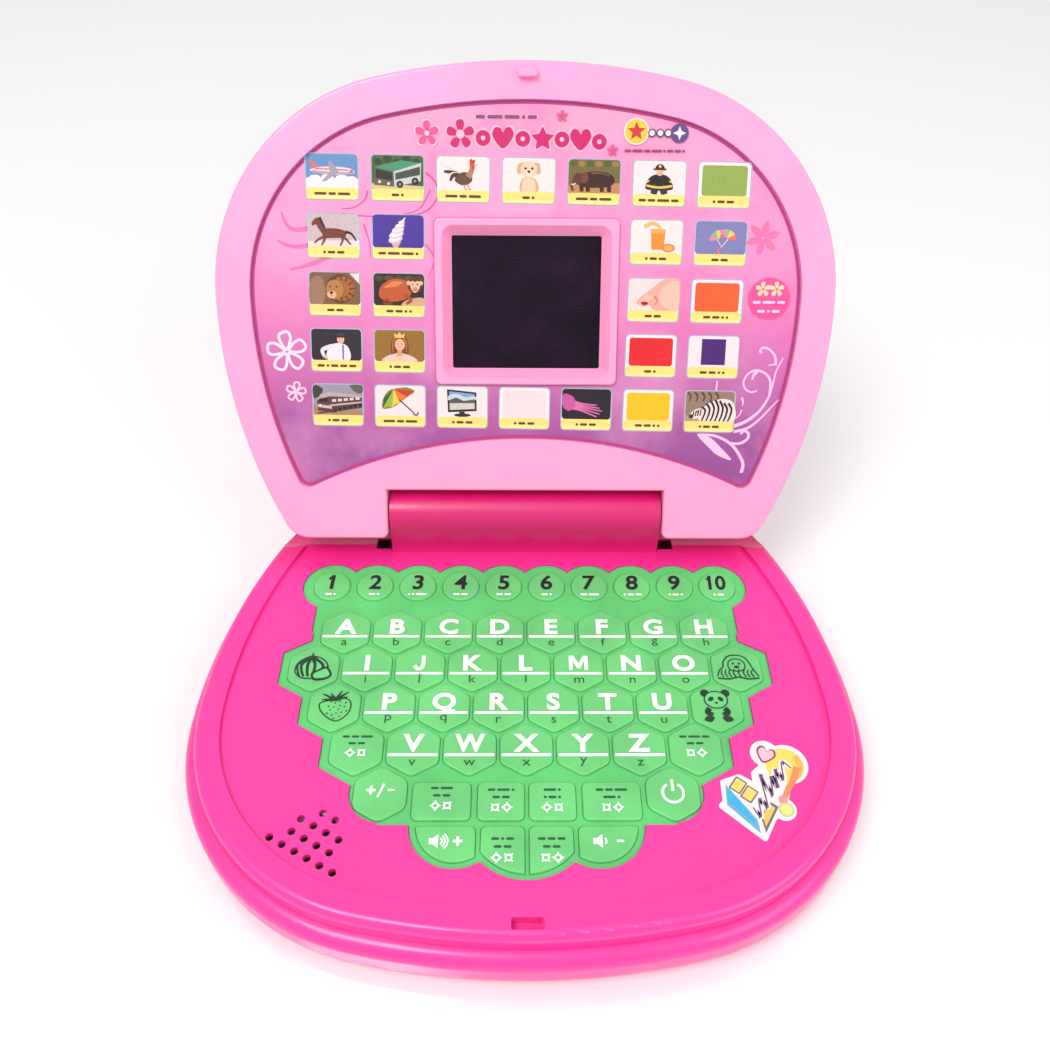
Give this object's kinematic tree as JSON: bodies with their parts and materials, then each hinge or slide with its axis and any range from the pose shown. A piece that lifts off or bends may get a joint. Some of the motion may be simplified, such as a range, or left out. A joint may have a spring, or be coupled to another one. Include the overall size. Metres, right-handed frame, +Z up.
{
  "type": "toy laptop computer",
  "caption": "Clamshell toy laptop: bulging pink base with a green silicone keypad of hexagonal keys, and a hinged lid with a picture panel and small screen.",
  "frame": {"origin": "middle of the open toy's footprint box, on the surface it stands on", "axes": "+X to the user's right, -Y towards the user, +Z up; stored with the lid open on its stop"},
  "size_m": [0.2364, 0.2592, 0.1831],
  "materials": {
    "bright_pink_casing": "smooth moulded plastic, gently glossy",
    "pale_pink_casing": "smooth moulded plastic, gently glossy",
    "green_silicone": "soft silicone, matt",
    "circuit_board": "glass-fibre board with solder mask",
    "speaker_metal": "plated basket and magnet",
    "battery_jacket": "metal jacket",
    "contact_steel": "nickel plated",
    "screw_steel": "zinc plated",
    "hinge_steel": "drawn wire",
    "foot_rubber": "matt",
    "sticker_film": "printed film",
    "printed_panel": "printed film behind a clear coat",
    "clear_window": "clear polished plastic",
    "display_dark": "dark liquid-crystal cell, switched off"
  },
  "bodies": {
    "base": {"base_upper_casing": "bright_pink_casing", "base_lower_casing": "bright_pink_casing", "keypad_sheet": "green_silicone", "key_circuit_board": "circuit_board", "speaker": "speaker_metal", "battery_door": "bright_pink_casing", "battery_door_screw": "screw_steel", "battery_cells": "battery_jacket", "battery_contacts": "contact_steel", "rubber_feet": "foot_rubber", "base_screws": "screw_steel", "base_sticker": "sticker_film", "hinge_pins": "hinge_steel"},
    "lid": {"lid_front_frame": "pale_pink_casing", "lid_back_cover": "pale_pink_casing", "picture_panel": "printed_panel", "screen_window": "clear_window", "lcd_module": "display_dark", "lcd_board": "circuit_board", "lid_screws": "screw_steel"},
    "key_a": {"key_a": "green_silicone"},
    "key_b": {"key_b": "green_silicone"},
    "key_c": {"key_c": "green_silicone"},
    "key_d": {"key_d": "green_silicone"},
    "key_e": {"key_e": "green_silicone"},
    "key_f": {"key_f": "green_silicone"},
    "key_g": {"key_g": "green_silicone"},
    "key_h": {"key_h": "green_silicone"},
    "key_i": {"key_i": "green_silicone"},
    "key_j": {"key_j": "green_silicone"},
    "key_k": {"key_k": "green_silicone"},
    "key_l": {"key_l": "green_silicone"},
    "key_m": {"key_m": "green_silicone"},
    "key_n": {"key_n": "green_silicone"},
    "key_o": {"key_o": "green_silicone"},
    "key_p": {"key_p": "green_silicone"},
    "key_q": {"key_q": "green_silicone"},
    "key_r": {"key_r": "green_silicone"},
    "key_s": {"key_s": "green_silicone"},
    "key_t": {"key_t": "green_silicone"},
    "key_u": {"key_u": "green_silicone"},
    "key_v": {"key_v": "green_silicone"},
    "key_w": {"key_w": "green_silicone"},
    "key_x": {"key_x": "green_silicone"},
    "key_y": {"key_y": "green_silicone"},
    "key_z": {"key_z": "green_silicone"},
    "key_language_left": {"key_language_left": "green_silicone"},
    "key_language_right": {"key_language_right": "green_silicone"},
    "key_plus_minus": {"key_plus_minus": "green_silicone"},
    "key_power": {"key_power": "green_silicone"},
    "key_music": {"key_music": "green_silicone"},
    "key_letter": {"key_letter": "green_silicone"},
    "key_word": {"key_word": "green_silicone"},
    "key_singing": {"key_singing": "green_silicone"},
    "key_volume_up": {"key_volume_up": "green_silicone"},
    "key_spelling": {"key_spelling": "green_silicone"},
    "key_asking": {"key_asking": "green_silicone"},
    "key_volume_down": {"key_volume_down": "green_silicone"},
    "number_keys": {"number_keys": "green_silicone"},
    "picture_keys": {"picture_keys": "green_silicone"}
  },
  "joints": [
    {"name": "lid_hinge", "type": "hinge", "parent": "base", "child": "lid", "pos_m": [0, 0.03792, 0.0398], "axis": [1, 0, 0], "range_deg": [0, 122.1]},
    {"name": "key_a_press", "type": "slide", "parent": "base", "child": "key_a", "axis": [0, 0, -1], "range_m": [0, 0.001], "stiffness_N_per_m": 1500},
    {"name": "key_b_press", "type": "slide", "parent": "base", "child": "key_b", "axis": [0, 0, -1], "range_m": [0, 0.001], "stiffness_N_per_m": 1500},
    {"name": "key_c_press", "type": "slide", "parent": "base", "child": "key_c", "axis": [0, 0, -1], "range_m": [0, 0.001], "stiffness_N_per_m": 1500},
    {"name": "key_d_press", "type": "slide", "parent": "base", "child": "key_d", "axis": [0, 0, -1], "range_m": [0, 0.001], "stiffness_N_per_m": 1500},
    {"name": "key_e_press", "type": "slide", "parent": "base", "child": "key_e", "axis": [0, 0, -1], "range_m": [0, 0.001], "stiffness_N_per_m": 1500},
    {"name": "key_f_press", "type": "slide", "parent": "base", "child": "key_f", "axis": [0, 0, -1], "range_m": [0, 0.001], "stiffness_N_per_m": 1500},
    {"name": "key_g_press", "type": "slide", "parent": "base", "child": "key_g", "axis": [0, 0, -1], "range_m": [0, 0.001], "stiffness_N_per_m": 1500},
    {"name": "key_h_press", "type": "slide", "parent": "base", "child": "key_h", "axis": [0, 0, -1], "range_m": [0, 0.001], "stiffness_N_per_m": 1500},
    {"name": "key_i_press", "type": "slide", "parent": "base", "child": "key_i", "axis": [0, 0, -1], "range_m": [0, 0.001], "stiffness_N_per_m": 1500},
    {"name": "key_j_press", "type": "slide", "parent": "base", "child": "key_j", "axis": [0, 0, -1], "range_m": [0, 0.001], "stiffness_N_per_m": 1500},
    {"name": "key_k_press", "type": "slide", "parent": "base", "child": "key_k", "axis": [0, 0, -1], "range_m": [0, 0.001], "stiffness_N_per_m": 1500},
    {"name": "key_l_press", "type": "slide", "parent": "base", "child": "key_l", "axis": [0, 0, -1], "range_m": [0, 0.001], "stiffness_N_per_m": 1500},
    {"name": "key_m_press", "type": "slide", "parent": "base", "child": "key_m", "axis": [0, 0, -1], "range_m": [0, 0.001], "stiffness_N_per_m": 1500},
    {"name": "key_n_press", "type": "slide", "parent": "base", "child": "key_n", "axis": [0, 0, -1], "range_m": [0, 0.001], "stiffness_N_per_m": 1500},
    {"name": "key_o_press", "type": "slide", "parent": "base", "child": "key_o", "axis": [0, 0, -1], "range_m": [0, 0.001], "stiffness_N_per_m": 1500},
    {"name": "key_p_press", "type": "slide", "parent": "base", "child": "key_p", "axis": [0, 0, -1], "range_m": [0, 0.001], "stiffness_N_per_m": 1500},
    {"name": "key_q_press", "type": "slide", "parent": "base", "child": "key_q", "axis": [0, 0, -1], "range_m": [0, 0.001], "stiffness_N_per_m": 1500},
    {"name": "key_r_press", "type": "slide", "parent": "base", "child": "key_r", "axis": [0, 0, -1], "range_m": [0, 0.001], "stiffness_N_per_m": 1500},
    {"name": "key_s_press", "type": "slide", "parent": "base", "child": "key_s", "axis": [0, 0, -1], "range_m": [0, 0.001], "stiffness_N_per_m": 1500},
    {"name": "key_t_press", "type": "slide", "parent": "base", "child": "key_t", "axis": [0, 0, -1], "range_m": [0, 0.001], "stiffness_N_per_m": 1500},
    {"name": "key_u_press", "type": "slide", "parent": "base", "child": "key_u", "axis": [0, 0, -1], "range_m": [0, 0.001], "stiffness_N_per_m": 1500},
    {"name": "key_v_press", "type": "slide", "parent": "base", "child": "key_v", "axis": [0, 0, -1], "range_m": [0, 0.001], "stiffness_N_per_m": 1500},
    {"name": "key_w_press", "type": "slide", "parent": "base", "child": "key_w", "axis": [0, 0, -1], "range_m": [0, 0.001], "stiffness_N_per_m": 1500},
    {"name": "key_x_press", "type": "slide", "parent": "base", "child": "key_x", "axis": [0, 0, -1], "range_m": [0, 0.001], "stiffness_N_per_m": 1500},
    {"name": "key_y_press", "type": "slide", "parent": "base", "child": "key_y", "axis": [0, 0, -1], "range_m": [0, 0.001], "stiffness_N_per_m": 1500},
    {"name": "key_z_press", "type": "slide", "parent": "base", "child": "key_z", "axis": [0, 0, -1], "range_m": [0, 0.001], "stiffness_N_per_m": 1500},
    {"name": "key_language_left_press", "type": "slide", "parent": "base", "child": "key_language_left", "axis": [0, 0, -1], "range_m": [0, 0.001], "stiffness_N_per_m": 1500},
    {"name": "key_language_right_press", "type": "slide", "parent": "base", "child": "key_language_right", "axis": [0, 0, -1], "range_m": [0, 0.001], "stiffness_N_per_m": 1500},
    {"name": "key_plus_minus_press", "type": "slide", "parent": "base", "child": "key_plus_minus", "axis": [0, 0, -1], "range_m": [0, 0.001], "stiffness_N_per_m": 1500},
    {"name": "key_power_press", "type": "slide", "parent": "base", "child": "key_power", "axis": [0, 0, -1], "range_m": [0, 0.001], "stiffness_N_per_m": 1500},
    {"name": "key_music_press", "type": "slide", "parent": "base", "child": "key_music", "axis": [0, 0, -1], "range_m": [0, 0.001], "stiffness_N_per_m": 1500},
    {"name": "key_letter_press", "type": "slide", "parent": "base", "child": "key_letter", "axis": [0, 0, -1], "range_m": [0, 0.001], "stiffness_N_per_m": 1500},
    {"name": "key_word_press", "type": "slide", "parent": "base", "child": "key_word", "axis": [0, 0, -1], "range_m": [0, 0.001], "stiffness_N_per_m": 1500},
    {"name": "key_singing_press", "type": "slide", "parent": "base", "child": "key_singing", "axis": [0, 0, -1], "range_m": [0, 0.001], "stiffness_N_per_m": 1500},
    {"name": "key_volume_up_press", "type": "slide", "parent": "base", "child": "key_volume_up", "axis": [0, 0, -1], "range_m": [0, 0.001], "stiffness_N_per_m": 1500},
    {"name": "key_spelling_press", "type": "slide", "parent": "base", "child": "key_spelling", "axis": [0, 0, -1], "range_m": [0, 0.001], "stiffness_N_per_m": 1500},
    {"name": "key_asking_press", "type": "slide", "parent": "base", "child": "key_asking", "axis": [0, 0, -1], "range_m": [0, 0.001], "stiffness_N_per_m": 1500},
    {"name": "key_volume_down_press", "type": "slide", "parent": "base", "child": "key_volume_down", "axis": [0, 0, -1], "range_m": [0, 0.001], "stiffness_N_per_m": 1500},
    {"name": "number_keys_press", "type": "slide", "parent": "base", "child": "number_keys", "axis": [0, 0, -1], "range_m": [0, 0.001], "stiffness_N_per_m": 1500},
    {"name": "picture_keys_press", "type": "slide", "parent": "base", "child": "picture_keys", "axis": [0, 0, -1], "range_m": [0, 0.001], "stiffness_N_per_m": 1500}
  ]
}
